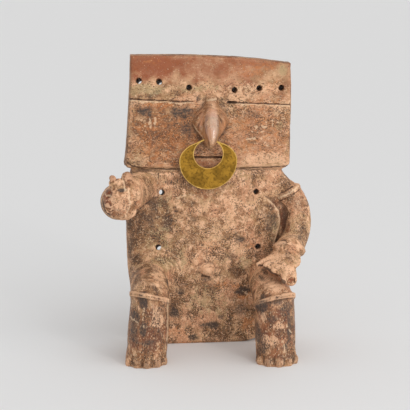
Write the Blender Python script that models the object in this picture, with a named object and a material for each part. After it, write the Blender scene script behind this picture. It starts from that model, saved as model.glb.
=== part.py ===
"""Seated slab figure of fired clay, with a crescent ring of gold sheet in its nose.

X runs across the figure, Y runs from its front to its back and Z runs up. The figure faces -Y.
The origin is the middle of the slab's underside. One hand is raised on the -X side, and the
other rests on the knee on the +X side.
"""

import math

import bmesh
import bpy
from mathutils import Matrix, Vector

# Driving sizes in metres
HEIGHT = 0.2966
SLAB_THICKNESS = 0.028
LEG_RADIUS = 0.0198
LEG_REACH_RAISED_SIDE = 0.0545
LEG_REACH_RESTING_SIDE = 0.0635
ARM_RADIUS = 0.0128
FOREARM_RADIUS = 0.0178
BAND_RISE = 0.0018
BAND_HEIGHT = 0.0056
HOLE_DIAMETER = 0.0060
GROOVE_WIDTH = 0.0016
GROOVE_DEPTH = 0.0018
MOUTH_DEPTH = 0.0040
NOSE_REACH = 0.0215
RING_WIDTH = 0.0582
RING_OPENING = 0.0292
RING_THICKNESS = 0.0012
RING_TIP_WIDTH = 0.0016
FIT_GAP = 0.0003

# The pose and the outline are written in millimetres of the real figure and follow its height
MM = HEIGHT / 296.6

# Smoothness of the faceted shapes
LIMB_SIDES = 20
FINGER_SIDES = 9
BAND_STEPS = 24
CORNER_STEPS = 3
FACE_STEPS = 6
HOLE_SIDES = 14
RING_STEPS = 40
SHARP_ANGLE = math.radians(35)

CLAY = (0.42, 0.25, 0.15, 1.0)
GOLD = (0.48, 0.33, 0.08, 1.0)

# Slab stations: height, left edge, right edge, share of the thickness, corner radius, tilt of the
# section. Below the first one the lower corners are quarter ellipses.
SLAB = (
    (42, -72.0, 84.0, 0.98, 9.0, 0.0),
    (64, -74.2, 87.0, 1.00, 9.5, 0.0),
    (90, -76.8, 89.0, 1.02, 10.0, 0.0),
    (128, -77.2, 90.5, 1.03, 10.0, 0.0),
    (150, -76.6, 91.0, 1.02, 10.0, 0.0),
    (168, -74.2, 90.5, 1.00, 8.0, 0.0),
    (175, -73.0, 84.8, 1.02, 5.0, -0.010),
    (179.5, -72.0, 81.4, 1.01, 4.0, -0.014),
    (182, -71.5, 80.5, 0.86, 4.0, -0.014),
    (184, -74.0, 84.5, 0.98, 3.5, -0.014),
    (187.5, -77.6, 88.4, 1.02, 3.5, -0.014),
    (204, -76.4, 89.0, 1.00, 3.5, 0.0),
    (224, -74.9, 89.0, 0.97, 3.5, 0.0),
    (250, -73.2, 89.6, 0.94, 3.5, 0.0),
    (274, -71.9, 89.6, 0.90, 3.5, 0.0),
    (296.6, -71.2, 88.6, 0.84, 3.0, 0.0),
)
LOWER_CORNER_HEIGHT = 40
UNDERSIDE_LEFT = -42
UNDERSIDE_RIGHT = 43
UNDERSIDE_SHARE = 0.72
UNDERSIDE_ROUNDING = 8
BELLY_BULGE = 2.2
JAW_HEIGHT = 183
TOP_DROP = 9.3
TOP_ROUNDING = 3
SLAB_LEVELS = (-3, 0.8, 2.5, 5.5, 10, 17, 27, 40, 62, 86, 110, 134, 154, 168, 175, 179, 180.8,
               182, 183, 184.5, 187.5, 191, 204, 228, 252, 274, 290, 294.6, 296.0, 296.6)

# Nose stations: height, middle, half width, share of the reach, half width of the rib
NOSE = (
    (258.5, 8.8, 4.2, 0.06, 4.2),
    (253.0, 8.8, 6.4, 0.24, 5.0),
    (246.0, 8.6, 9.6, 0.42, 6.0),
    (238.0, 7.8, 16.2, 0.60, 7.2),
    (231.0, 7.2, 18.0, 0.76, 8.2),
    (224.0, 7.2, 15.8, 0.90, 8.8),
    (217.0, 7.0, 10.8, 0.98, 8.4),
    (211.0, 6.6, 7.4, 1.00, 7.0),
    (206.5, 6.4, 4.4, 0.94, 4.4),
)
NOSE_TIP = (6.4, 204.0, 0.74)
NOSE_WING_SHARE = 0.80
NOSE_LEVELS = 13
NOSE_POINTS = 16

# The ring's plane crosses the nose at this share of its reach, at this height, and leans back
RING_SEAT_SHARE = 0.46
RING_SEAT_HEIGHT = 212.0
RING_MIDDLE = 4.4
RING_LEAN = math.radians(5)
RING_TIP_ANGLE = math.radians(15)

# Holes poked by hand: middle of the front rim and how far the back rim is off it, in X and in Z
HOLES = (
    (-63.8, 272.2, 4.2, -6.4),
    (-43.7, 271.1, 4.6, -7.0),
    (-13.4, 264.6, -4.2, 1.6),
    (32.1, 261.6, -3.4, 1.8),
    (57.0, 263.2, -3.0, 1.8),
    (79.4, 263.3, -2.8, 1.8),
    (-41.5, 159.8, -0.6, -5.0),
    (54.3, 158.4, -1.0, -0.5),
    (-45.8, 103.6, 4.2, -9.2),
    (56.3, 101.7, -1.0, -1.0),
)

# Incised lines: start X and Z, end X and Z, share of the full depth
EYE_LINES = (
    (-76.0, 254.2, -13.0, 250.4, 1.0),
    (-13.0, 250.4, -6.0, 250.0, 0.5),
    (25.0, 249.8, 33.4, 249.4, 2.4),
    (33.4, 249.3, 92.0, 245.5, 0.8),
)
MOUTH_START = (-9.0, 194.9)
MOUTH_END = (29.0, 193.9)

# Limbs: hip, knee and foot places in X and Z, and how the band below the knee is tilted. The
# domed end of a thigh stays this far under the slab's back face.
THIGH_COVER = 1.5
LEGS = {
    "raised_side": ((-55.0, 77.0), (-57.3, 62.5), (-62.4, 0.0), (-0.24, -0.30)),
    "resting_side": ((63.5, 75.0), (64.0, 59.0), (66.0, 0.0), (0.20, -0.42)),
}
NAVEL = ((5.2, 75.9), (6.4, 3.6, 4.6))


def clear_scene():
    for item in list(bpy.data.objects):
        bpy.data.objects.remove(item, do_unlink=True)


def make_material(name, colour, roughness, metallic):
    material = bpy.data.materials.new(name)
    material.use_nodes = True
    shader = material.node_tree.nodes["Principled BSDF"]
    shader.inputs["Base Color"].default_value = colour
    shader.inputs["Roughness"].default_value = roughness
    shader.inputs["Metallic"].default_value = metallic
    return material


def make_object(name, shape, collection=None):
    """Turn a closed bmesh into a smooth-shaded object; one in a collection is only a guide."""
    bmesh.ops.recalc_face_normals(shape, faces=shape.faces)
    mesh = bpy.data.meshes.new(name)
    shape.to_mesh(mesh)
    shape.free()
    mesh.shade_smooth()
    mesh.set_sharp_from_angle(angle=SHARP_ANGLE)
    made = bpy.data.objects.new(name, mesh)
    (collection or bpy.context.scene.collection).objects.link(made)
    if collection:
        made.hide_render = True
        made.display_type = "WIRE"
    return made


def smooth_value(stations, place):
    """Read the curve through stations of (place, value, ...) at one place."""
    places = [station[0] for station in stations]
    place = min(max(place, places[0]), places[-1])
    low = max(k for k in range(len(places) - 1) if places[k] <= place)
    span = places[low + 1] - places[low]
    t = (place - places[low]) / span

    def slope(k, item):
        first = stations[max(k - 1, 0)]
        last = stations[min(k + 1, len(stations) - 1)]
        return (last[item] - first[item]) / (last[0] - first[0])

    values = []
    for item in range(1, len(stations[0])):
        start = stations[low][item]
        end = stations[low + 1][item]
        value = (2 * t ** 3 - 3 * t ** 2 + 1) * start + (3 * t ** 2 - 2 * t ** 3) * end
        value += (t ** 3 - 2 * t ** 2 + t) * span * slope(low, item)
        value += (t ** 3 - t ** 2) * span * slope(low + 1, item)
        values.append(value)
    return values


def add_ring(shape, points):
    return [shape.verts.new(point) for point in points]


def round_ring(shape, middle, side, other, radius, sides):
    """A ring of vertices around a middle given in millimetres."""
    points = []
    for k in range(sides):
        angle = 2 * math.pi * k / sides
        spoke = side * math.cos(angle) + other * math.sin(angle)
        points.append((middle + spoke * radius) * MM)
    return add_ring(shape, points)


def join_rings(shape, rings):
    """Bridge rings of vertices with the same count, one after the other."""
    for low, high in zip(rings, rings[1:]):
        for k in range(len(low)):
            after = (k + 1) % len(low)
            shape.faces.new((low[k], low[after], high[after], high[k]))


def close_with_point(shape, ring, point):
    """Close the end of a loft with a fan to one point."""
    tip = shape.verts.new(point)
    for k in range(len(ring)):
        shape.faces.new((ring[k], ring[(k + 1) % len(ring)], tip))


def close_with_strips(shape, ring):
    """Close a ring whose front row and back row hold the same X places."""
    last = len(ring) - 1
    for k in range(len(ring) // 2 - 1):
        shape.faces.new((ring[k], ring[k + 1], ring[last - k - 1], ring[last - k]))


def slab_section(height):
    """Left edge, right edge, half thickness, corner radius and tilt at one height."""
    left, right, share, corner, tilt = smooth_value(SLAB, height)
    half = SLAB_THICKNESS / MM / 2 * share
    if height < LOWER_CORNER_HEIGHT:
        rise = max(height, 0) / LOWER_CORNER_HEIGHT
        spread = math.sqrt(1 - (1 - rise) ** 2)
        left = UNDERSIDE_LEFT + (left - UNDERSIDE_LEFT) * spread
        right = UNDERSIDE_RIGHT + (right - UNDERSIDE_RIGHT) * spread
        edge = min(max(height, 0) / UNDERSIDE_ROUNDING, 1)
        roundness = math.sqrt(1 - (1 - edge) ** 2)
        half *= UNDERSIDE_SHARE + (1 - UNDERSIDE_SHARE) * roundness
    top = max(height - SLAB[-1][0] + TOP_ROUNDING, 0) / TOP_ROUNDING
    inset = 0.7 * TOP_ROUNDING * (1 - math.sqrt(1 - top ** 2))
    return left + inset, right - inset, half - inset, min(corner, half * 0.8), tilt


def front_depth(height, across=0.0):
    """How far the slab's front face stands off its middle plane, in millimetres."""
    left, right, half, corner, tilt = slab_section(height)
    bulge = 0.0
    if 0 < height < JAW_HEIGHT:
        share = (across - (left + right) / 2) / ((right - left) / 2)
        bulge = BELLY_BULGE * max(1 - share ** 2, 0) * math.sin(math.pi * height / JAW_HEIGHT)
    return half + bulge


def slab_ring_points(height):
    """The slab's section: a front row from left to right, then a back row from right to left."""
    left, right, half, corner, tilt = slab_section(height)
    quarter = [math.pi / 2 * k / CORNER_STEPS for k in range(CORNER_STEPS + 1)]
    arc = [(corner * (1 - math.cos(angle)), corner * (1 - math.sin(angle))) for angle in quarter]
    row = [(left + along, inset) for along, inset in arc]
    for k in range(1, FACE_STEPS):
        row.append((left + corner + (right - left - 2 * corner) * k / FACE_STEPS, 0.0))
    row += [(right - along, inset) for along, inset in arc[::-1]]
    front = []
    back = []
    for across, inset in row:
        share = (across - SLAB[-1][1]) / (SLAB[-1][2] - SLAB[-1][1])
        above_jaw = max(height - JAW_HEIGHT, 0) / (SLAB[-1][0] - JAW_HEIGHT)
        level = height + tilt * across - TOP_DROP * above_jaw * max(share, 0) ** 3
        front.append(Vector((across, inset - front_depth(height, across), level)) * MM)
        back.append(Vector((across, half - inset, level)) * MM)
    return front + back[::-1]


def make_slab():
    """Body, neck and head in one loft from the underside to the top of the head."""
    shape = bmesh.new()
    rings = [add_ring(shape, slab_ring_points(height)) for height in SLAB_LEVELS]
    join_rings(shape, rings)
    close_with_strips(shape, rings[0])
    close_with_strips(shape, rings[-1])
    return shape


def limb_frames(stations, steps):
    """Middle, direction, side and radius along a limb through (x, y, z, radius) stations."""
    numbered = [(k,) + tuple(station) for k, station in enumerate(stations)]
    samples = [smooth_value(numbered, k * (len(stations) - 1) / steps) for k in range(steps + 1)]
    middles = [Vector(sample[:3]) for sample in samples]
    frames = []
    side = None
    for k, middle in enumerate(middles):
        ahead = (middles[min(k + 1, steps)] - middles[max(k - 1, 0)]).normalized()
        if side is None:
            side = ahead.cross(Vector((0.0, 0.0, 1.0)))
            if side.length < 0.1:
                side = Vector((1.0, 0.0, 0.0))
        side = (side - ahead * side.dot(ahead)).normalized()
        frames.append((middle, ahead, side, samples[k][3]))
    return frames


def make_limb(stations, steps, sides=LIMB_SIDES, flat=1.0):
    """A limb with domed ends; flat below one squashes it across its side direction."""
    frames = limb_frames(stations, steps)
    first, last = frames[0], frames[-1]
    dome = (math.radians(60), math.radians(28))
    rings = [(first, -math.sin(angle), math.cos(angle)) for angle in dome]
    rings += [(frame, 0.0, 1.0) for frame in frames]
    rings += [(last, math.sin(angle), math.cos(angle)) for angle in dome[::-1]]
    shape = bmesh.new()
    built = []
    for (middle, ahead, side, radius), along, share in rings:
        other = ahead.cross(side) * flat
        centre = middle + ahead * along * radius
        built.append(round_ring(shape, centre, side, other, radius * share, sides))
    join_rings(shape, built)
    close_with_point(shape, built[0], (first[0] - first[1] * first[3]) * MM)
    close_with_point(shape, built[-1], (last[0] + last[1] * last[3]) * MM)
    return shape


def make_lump(middle, radii):
    """An ellipsoid of clay."""
    shape = bmesh.new()
    bmesh.ops.create_icosphere(shape, subdivisions=2, radius=1.0)
    size = Matrix.Diagonal((radii[0] * MM, radii[1] * MM, radii[2] * MM, 1.0))
    place = Matrix.Translation(Vector(middle) * MM)
    bmesh.ops.transform(shape, matrix=place @ size, verts=shape.verts)
    return shape


def make_band(frame, shear=(0.0, 0.0)):
    """A double raised band around a limb; shear tilts it along the limb's two side directions."""
    middle, ahead, side, radius = frame
    other = ahead.cross(side)
    rise = BAND_RISE / MM
    reach = BAND_HEIGHT / MM / 2
    profile = ((-1.0, -1.5), (-0.9, 0.5), (-0.5, 1.0), (0.0, 0.5), (0.5, 1.0), (0.9, 0.5), (1.0, -1.5))
    shape = bmesh.new()
    rings = []
    for k in range(BAND_STEPS):
        angle = 2 * math.pi * k / BAND_STEPS
        spoke = side * math.cos(angle) + other * math.sin(angle)
        lift = radius * (shear[0] * math.cos(angle) + shear[1] * math.sin(angle))
        points = []
        for along, out in profile:
            spot = middle + spoke * (radius + rise * out) + ahead * (reach * along + lift)
            points.append(spot * MM)
        rings.append(add_ring(shape, points))
    join_rings(shape, rings + rings[:1])
    return shape


def make_nose():
    """Spade-shaped nose with a rounded rib down its middle."""
    shape = bmesh.new()
    top, bottom = NOSE[0][0], NOSE[-1][0]
    falling = [(-station[0],) + station[1:] for station in NOSE]
    reach = NOSE_REACH / MM
    rings = []
    for level in range(NOSE_LEVELS):
        height = top + (bottom - top) * level / (NOSE_LEVELS - 1)
        middle, half, share, rib = smooth_value(falling, -height)
        face = front_depth(height, middle)
        points = []
        for k in range(NOSE_POINTS + 1):
            across = 2 * k / NOSE_POINTS - 1
            wing = NOSE_WING_SHARE * (1 - across ** 2) ** 0.6
            ridge = (1 - NOSE_WING_SHARE) * max(1 - (across * half / rib) ** 2, 0) ** 0.55
            depth = face + reach * share * (wing + ridge)
            points.append(Vector((middle + half * across, -depth, height)) * MM)
        inside = -(face - SLAB_THICKNESS / MM / 6)
        points.append(Vector((middle + half, inside, height)) * MM)
        points.append(Vector((middle - half, inside, height)) * MM)
        rings.append(add_ring(shape, points))
    join_rings(shape, rings)
    crown = Vector((NOSE[0][1], -front_depth(top) + 1, top + 2))
    close_with_point(shape, rings[0], crown * MM)
    tip_depth = front_depth(NOSE_TIP[1]) + reach * NOSE_TIP[2]
    close_with_point(shape, rings[-1], Vector((NOSE_TIP[0], -tip_depth, NOSE_TIP[1])) * MM)
    return shape


def make_leg(name, reach, collection):
    """Thigh, shin, band and toes, with the shin standing one reach off the slab's front."""
    hip, knee, foot, shear = LEGS[name]
    radius = LEG_RADIUS / MM
    shin = -(SLAB_THICKNESS / 2 + reach) / MM
    root = SLAB_THICKNESS / MM / 2 - THIGH_COVER - radius * 0.90
    thigh = [
        (hip[0], root, hip[1], radius * 0.90),
        (hip[0] * 0.5 + knee[0] * 0.5, shin * 0.5, hip[1] * 0.55 + knee[1] * 0.45, radius * 0.97),
        (knee[0], shin + 1.5, knee[1], radius * 0.98),
    ]
    lower = [
        (knee[0], shin, knee[1] + 3, radius * 0.96),
        (knee[0] * 0.6 + foot[0] * 0.4, shin, knee[1] * 0.6, radius * 1.02),
        (knee[0] * 0.25 + foot[0] * 0.75, shin, knee[1] * 0.22, radius),
        (foot[0], shin - 0.8, 3.0, radius * 1.03),
        (foot[0], shin - 1.0, -14.0, radius * 1.03),
    ]
    make_object(f"{name}_thigh", make_limb(thigh, 6), collection)
    make_object(f"{name}_shin", make_limb(lower, 8), collection)
    frame = (Vector(lower[0][:3]), Vector((0, 0, 1)), Vector((1, 0, 0)), lower[0][3])
    make_object(f"{name}_band", make_band(frame, shear), collection)
    for k in range(5):
        angle = math.radians(-62 + 31 * k)
        across = foot[0] + radius * 0.9 * math.sin(angle)
        ahead = shin - radius * 0.9 * math.cos(angle)
        toe = make_lump((across, ahead, 3.0), (5.2, 5.4, 7.4))
        make_object(f"{name}_toe_{k + 1}", toe, collection)


def make_fingers(name, fingers, collection):
    """Short tapered fingers, each from a root to a tip of (x, y, z, radius)."""
    for k, finger in enumerate(fingers):
        made = make_limb(finger, 2, FINGER_SIDES)
        make_object(f"{name}_finger_{k + 1}", made, collection)


def make_resting_arm(added, cut):
    """Arm that comes down to the knee, with bands at the shoulder and the wrist."""
    radius = ARM_RADIUS / MM
    arm = [
        (78.0, 0.0, 158.0, radius * 0.98),
        (87.5, -3.0, 154.5, radius * 1.08),
        (94.4, -7.0, 145.5, radius * 1.06),
        (98.2, -12.0, 134.0, radius * 0.98),
        (97.0, -19.0, 121.0, radius * 0.99),
        (91.0, -29.0, 110.5, radius * 1.03),
        (82.0, -42.0, 101.5, radius * 1.12),
    ]
    make_object("resting_arm", make_limb(arm, 14), added)
    down = Vector((0.49, -0.15, -0.86)).normalized()
    side = down.cross(Vector((0.0, 1.0, 0.0))).normalized()
    shoulder = (Vector(arm[1][:3]), down, side, arm[1][3])
    make_object("shoulder_band", make_band(shoulder), added)
    frames = limb_frames(arm, 24)
    make_object("wrist_band", make_band(frames[23], (0.5, 0.2)), added)
    palm = [
        (82.0, -45.0, 102.0, 13.0),
        (77.0, -54.0, 99.0, 17.5),
        (74.0, -63.0, 95.5, 18.5),
        (72.5, -67.0, 94.0, 16.0),
    ]
    make_object("resting_palm", make_limb(palm, 5, LIMB_SIDES, 0.34), added)
    fingers = (
        ((66.0, -56.0, 97.0, 6.0), (51.0, -58.0, 93.8, 3.2)),
        ((64.0, -63.0, 95.0, 4.5), (57.5, -66.0, 94.0, 3.8)),
        ((68.0, -69.0, 93.0, 4.5), (63.8, -76.5, 91.2, 4.0)),
        ((75.0, -75.0, 90.5, 5.0), (71.0, -91.0, 84.8, 3.4)),
        ((80.5, -69.0, 89.5, 6.2), (79.6, -82.0, 82.8, 6.1)),
    )
    make_fingers("resting", fingers, added)
    hollow = ((79.2, -82.0, 84.0, 3.6), (78.2, -98.0, 83.8, 3.6))
    make_object("broken_finger_hollow", make_limb(hollow, 2, FINGER_SIDES), cut)


def make_raised_arm(added, cut):
    """Arm bent up and forward, with a worn hand whose fingers are broken off short."""
    radius = FOREARM_RADIUS / MM
    arm = [
        (-62.0, -3.0, 162.0, radius * 0.88),
        (-77.0, -4.0, 156.0, radius * 0.98),
        (-84.5, -12.0, 151.4, radius * 1.05),
        (-85.0, -28.0, 154.0, radius),
        (-85.0, -46.0, 160.0, radius * 0.84),
    ]
    make_object("raised_arm", make_limb(arm, 12), added)
    shoulder = [
        (-56.0, -4.0, 167.0, radius * 0.74),
        (-64.0, -18.0, 165.5, radius * 0.92),
        (-76.0, -38.0, 162.5, radius * 0.95),
    ]
    make_object("raised_shoulder", make_limb(shoulder, 5), added)
    lumps = {
        "raised_palm": ((-85.5, -53.0, 161.5), (14.5, 8.5, 19.0)),
        "raised_heel": ((-82.5, -50.0, 148.0), (14.0, 8.0, 9.0)),
        "raised_thumb": ((-94.5, -54.5, 154.0), (7.6, 6.4, 6.8)),
    }
    for name, (middle, radii) in lumps.items():
        make_object(name, make_lump(middle, radii), added)
    fingers = (
        ((-89.0, -53.0, 170.0, 6.0), (-92.6, -57.0, 181.8, 3.8)),
        ((-87.0, -53.0, 172.0, 6.0), (-86.0, -56.0, 177.6, 4.8)),
        ((-81.0, -50.0, 172.0, 7.0), (-78.0, -50.5, 182.0, 6.0)),
    )
    make_fingers("raised", fingers, added)
    make_object("raised_hand_gap", make_lump((-101.0, -58.0, 168.0), (8.8, 10.0, 7.0)), cut)


def make_hole_cutter(across, height, shift_x, shift_z):
    """A round tool through the slab, longer than the slab is thick."""
    front = Vector((across, -front_depth(height, across), height))
    back = Vector((across + shift_x, slab_section(height)[2], height + shift_z))
    reach = back - front
    ahead = reach.normalized()
    side = ahead.cross(Vector((0.0, 0.0, 1.0))).normalized()
    other = ahead.cross(side)
    shape = bmesh.new()
    rings = []
    for middle in (front - reach * 0.3, back + reach * 0.3):
        rings.append(round_ring(shape, middle, side, other, HOLE_DIAMETER / MM / 2, HOLE_SIDES))
    join_rings(shape, rings)
    shape.faces.new(rings[0])
    shape.faces.new(rings[1])
    return shape


def make_line_cutter(start, end, width, depth):
    """A wedge that cuts a straight incised line into the front face."""
    wide, narrow = width * 0.9, width * 0.3
    profile = ((wide, -2.0), (narrow, depth), (-narrow, depth), (-wide, -2.0))
    shape = bmesh.new()
    rings = []
    for across, height in (start, end):
        face = -front_depth(height, across)
        points = [Vector((across, face + inset, height + lift)) * MM for lift, inset in profile]
        rings.append(add_ring(shape, points))
    join_rings(shape, rings)
    shape.faces.new(rings[0])
    shape.faces.new(rings[1])
    return shape


def make_box(low, high):
    shape = bmesh.new()
    bmesh.ops.create_cube(shape, size=1.0)
    low, high = Vector(low), Vector(high)
    place = Matrix.Translation((low + high) / 2) @ Matrix.Diagonal((*(high - low), 1.0))
    bmesh.ops.transform(shape, matrix=place, verts=shape.verts)
    return shape


def ring_place():
    """The ring's own frame: its origin is the middle of the opening, its Z runs up its plane."""
    depth = front_depth(RING_SEAT_HEIGHT) * MM + NOSE_REACH * RING_SEAT_SHARE
    drop = RING_OPENING / 2 * math.cos(2 * RING_TIP_ANGLE)
    middle = Vector((RING_MIDDLE * MM, -depth, RING_SEAT_HEIGHT * MM - drop))
    return Matrix.Translation(middle) @ Matrix.Rotation(RING_LEAN, 4, "X")


def make_crescent(grow=0.0):
    """Crescent of sheet: a round opening set high in an oval outline, open at the top."""
    half_open = RING_OPENING / 2
    half_wide = RING_WIDTH / 2
    drop = half_open * 0.46
    low_reach = half_wide * 1.02
    high_reach = half_wide * 0.70
    tip_angle = RING_TIP_ANGLE - grow / half_open
    sheet = Vector((0.0, RING_THICKNESS / 2 + grow, 0.0))
    place = ring_place()
    shape = bmesh.new()
    rings = []
    for k in range(RING_STEPS + 1):
        angle = tip_angle + 2 * (math.pi - tip_angle) * k / RING_STEPS
        across, up = math.sin(angle), math.cos(angle)
        spoke = Vector((across, 0.0, up))
        inner = spoke * half_open
        reach = high_reach if up > 0 else low_reach
        outer = Vector((across * half_wide, 0.0, up * reach - drop))
        if outer.length < half_open + RING_TIP_WIDTH:
            outer = spoke * (half_open + RING_TIP_WIDTH)
        inner -= spoke * grow
        outer += outer.normalized() * grow
        points = (inner - sheet, outer - sheet, outer + sheet, inner + sheet)
        rings.append(add_ring(shape, [place @ point for point in points]))
    join_rings(shape, rings)
    shape.faces.new(rings[0])
    shape.faces.new(rings[-1])
    return shape


def add_boolean(target, name, operation, collection):
    modifier = target.modifiers.new(name, "BOOLEAN")
    modifier.operation = operation
    modifier.operand_type = "COLLECTION"
    modifier.collection = collection
    modifier.solver = "EXACT"


def new_collection(name):
    collection = bpy.data.collections.new(name)
    bpy.context.scene.collection.children.link(collection)
    return collection


def make_face_cuts(cut):
    """The eye line, the mouth and the seat of the ring in the nose."""
    width = GROOVE_WIDTH / MM
    for k, (x0, z0, x1, z1, share) in enumerate(EYE_LINES):
        line = make_line_cutter((x0, z0), (x1, z1), width, GROOVE_DEPTH / MM * share)
        make_object(f"eye_line_{k + 1}", line, cut)
    mouth = make_line_cutter(MOUTH_START, MOUTH_END, width, MOUTH_DEPTH / MM)
    make_object("mouth", mouth, cut)
    make_object("ring_seat", make_crescent(FIT_GAP), cut)


def make_figure():
    """The whole clay figure as one solid: all clay joined, then the holes and lines cut."""
    added = new_collection("added clay")
    cut = new_collection("cuts")
    figure = make_object("figure", make_slab())
    make_object("nose", make_nose(), added)
    make_leg("raised_side", LEG_REACH_RAISED_SIDE, added)
    make_leg("resting_side", LEG_REACH_RESTING_SIDE, added)
    make_resting_arm(added, cut)
    make_raised_arm(added, cut)
    (x, z), radii = NAVEL
    make_object("navel", make_lump((x, -front_depth(z, x), z), radii), added)
    for k, hole in enumerate(HOLES):
        make_object(f"hole_{k + 1}", make_hole_cutter(*hole), cut)
    make_face_cuts(cut)
    ground = make_box((-HEIGHT, -HEIGHT, -HEIGHT / 4), (HEIGHT, HEIGHT, 0.0))
    make_object("ground", ground, cut)
    add_boolean(figure, "add clay", "UNION", added)
    add_boolean(figure, "cut", "DIFFERENCE", cut)
    figure.data.materials.append(make_material("fired clay", CLAY, 0.75, 0.0))
    return figure


def make_nose_ring():
    ring = make_object("nose_ring", make_crescent())
    ring.data.materials.append(make_material("gold sheet", GOLD, 0.35, 1.0))
    return ring


clear_scene()
make_figure()
make_nose_ring()
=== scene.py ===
# %% [markdown]
# # A seated slab figure in fired clay, with a crescent nose ring
# The real object is one thick slab of coarse clay: a flat face over a flat body, with rolled arms
# and legs pressed on, then dried, rubbed smooth in places and fired. Centuries in the ground left
# it worn, pitted and spotted with dark minerals. A crescent of gold sheet hangs from the nose.
#
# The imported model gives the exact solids. They are the frame: nothing here moves or resizes them.
# This script lays a finer skin over the clay, wears it, and gives both materials their finish.

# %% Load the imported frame
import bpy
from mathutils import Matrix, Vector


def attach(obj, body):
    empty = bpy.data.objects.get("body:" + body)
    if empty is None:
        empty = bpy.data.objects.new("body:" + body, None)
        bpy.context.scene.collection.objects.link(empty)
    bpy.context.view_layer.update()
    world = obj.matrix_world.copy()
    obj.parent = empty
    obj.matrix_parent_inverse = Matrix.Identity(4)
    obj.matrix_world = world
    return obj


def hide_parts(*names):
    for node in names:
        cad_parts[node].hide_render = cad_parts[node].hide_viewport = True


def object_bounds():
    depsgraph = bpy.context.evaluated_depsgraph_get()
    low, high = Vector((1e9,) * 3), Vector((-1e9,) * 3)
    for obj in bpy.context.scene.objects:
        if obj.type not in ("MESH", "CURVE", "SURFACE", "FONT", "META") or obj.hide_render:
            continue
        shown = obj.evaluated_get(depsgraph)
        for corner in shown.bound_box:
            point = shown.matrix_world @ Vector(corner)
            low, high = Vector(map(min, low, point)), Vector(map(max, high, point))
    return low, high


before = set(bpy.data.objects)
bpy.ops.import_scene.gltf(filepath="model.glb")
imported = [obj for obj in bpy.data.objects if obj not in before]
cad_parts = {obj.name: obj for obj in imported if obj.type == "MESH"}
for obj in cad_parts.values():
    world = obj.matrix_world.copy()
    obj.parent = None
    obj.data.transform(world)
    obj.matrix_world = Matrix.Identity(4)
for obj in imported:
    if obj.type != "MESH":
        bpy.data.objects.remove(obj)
cad_low, cad_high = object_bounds()
print("CAD box in mm:", [round(1000 * v, 1) for v in (*cad_low, *cad_high)])

# %% [markdown]
# ## The camera and the studio
# The photograph looks a little down and from a little to the left of the figure's front, with a
# long lens. Everything measured on it assumes this camera, so it comes first. The set is a pale
# floor that reaches past the top of the picture, an even pale surround, and one large soft light
# from the upper right, which throws soft shadows to the left. A weak upright strip of light at the
# right draws the thin highlights on the burnished nose.

# %% Camera
import math

import bmesh
import bpy
import numpy as np
from mathutils import Euler, Vector, noise

MM = 0.001
CAMERA_PLACE = (-0.13273, -1.29659, 0.40115)
CAMERA_TURN = (78.8, 0.0, -6.0)
SENSOR = 36.0
FOCAL_PIXELS = 1300
PHOTO_PIXELS = 410

lens = bpy.data.cameras.new("photo_camera")
lens.sensor_width = SENSOR
lens.lens = FOCAL_PIXELS / PHOTO_PIXELS * SENSOR
camera = bpy.data.objects.new("photo_camera", lens)
camera.location = CAMERA_PLACE
camera.rotation_euler = Euler([math.radians(v) for v in CAMERA_TURN], "XYZ")
bpy.context.scene.collection.objects.link(camera)
bpy.context.scene.camera = camera
bpy.context.scene.view_settings.view_transform = "Standard"
print("Lens in mm:", round(lens.lens, 2))

# %% Node helpers
def srgb(red, green, blue):
    """A colour given as it is seen on a screen, 0 to 255, as the linear values Blender mixes."""
    seen = np.array((red, green, blue)) / 255
    linear = np.where(seen < 0.04045, seen / 12.92, ((seen + 0.055) / 1.055) ** 2.4)
    return (*[float(v) for v in linear], 1.0)


def add(tree, kind, wires=None, **settings):
    """Add a shader node, set it up, and give each named input a value or a wire."""
    made = tree.nodes.new("ShaderNode" + kind)
    for name, value in settings.items():
        setattr(made, name, value)
    for name, value in (wires or {}).items():
        socket = made.inputs[name]
        if isinstance(value, bpy.types.NodeSocket):
            tree.links.new(value, socket)
        else:
            socket.default_value = value
    return made


# %% Floor and surround
FLOOR_REACH = 30.0
FLOOR_GREY = 0.84
SKY_STRENGTH = 0.64

shape = bmesh.new()
bmesh.ops.create_grid(shape, x_segments=1, y_segments=1, size=FLOOR_REACH)
floor_mesh = bpy.data.meshes.new("floor")
shape.to_mesh(floor_mesh)
shape.free()
floor = bpy.data.objects.new("floor", floor_mesh)
bpy.context.scene.collection.objects.link(floor)
paint = bpy.data.materials.new("pale floor")
paint.use_nodes = True
matt = paint.node_tree.nodes["Principled BSDF"]
matt.inputs["Base Color"].default_value = (FLOOR_GREY, FLOOR_GREY, FLOOR_GREY, 1.0)
matt.inputs["Roughness"].default_value = 0.9
matt.inputs["Specular IOR Level"].default_value = 0.1
floor_mesh.materials.append(paint)

surround = bpy.data.worlds.new("surround")
surround.use_nodes = True
sky = surround.node_tree.nodes["Background"]
sky.inputs["Color"].default_value = (1.0, 1.0, 1.0, 1.0)
sky.inputs["Strength"].default_value = SKY_STRENGTH
bpy.context.scene.world = surround
print("Floor reaches", FLOOR_REACH, "m each way")

# %% Lights
KEY_FROM = Vector((0.84, -1.20, 0.98))
KEY_AT = Vector((0.0, 0.0, 0.0))
KEY_SPREAD = math.radians(76)
KEY_ENERGY = 1.12
STRIP_FROM = Vector((0.62, -1.08, 0.55))
STRIP_AT = Vector((0.0, 0.0, 0.20))
STRIP_SIZE = (0.10, 0.50)
STRIP_ENERGY = 1.8


def hang_light(light, place, aim):
    """Put a light in its place, turned so that it shines at the point it is aimed at."""
    holder = bpy.data.objects.new(light.name, light)
    holder.location = place
    holder.rotation_euler = (place - aim).to_track_quat("Z", "Y").to_euler()
    bpy.context.scene.collection.objects.link(holder)
    print("Hung", light.name, "at", [round(v, 2) for v in place])


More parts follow.
